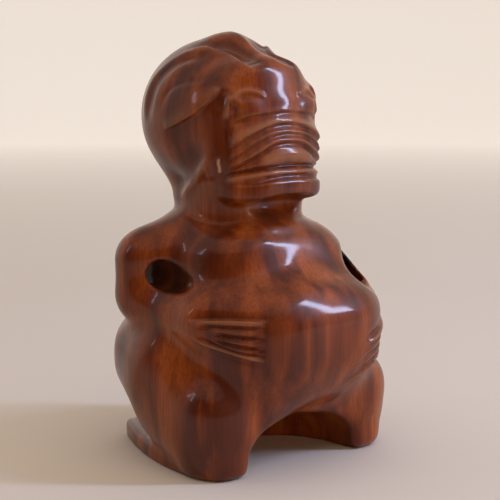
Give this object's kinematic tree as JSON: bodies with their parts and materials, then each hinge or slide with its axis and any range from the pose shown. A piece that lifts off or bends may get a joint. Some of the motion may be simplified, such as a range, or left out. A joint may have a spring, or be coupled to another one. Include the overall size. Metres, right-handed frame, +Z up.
{
  "type": "tiki statue",
  "caption": "Squat standing tiki figure carved in the round from dark polished wood, with goggle eyes, a banded mouth, hands on the belly and openings behind the arms.",
  "frame": {"origin": "centre of the bounding box on the plane that the soles stand on", "axes": "+Z up, the figure faces -Y, its own left side is +X"},
  "size_m": [0.1376, 0.1298, 0.2209],
  "materials": {
    "polished_wood": "hand-rubbed gloss"
  },
  "bodies": {
    "root": {"tiki_figure": "polished_wood"}
  },
  "joints": []
}
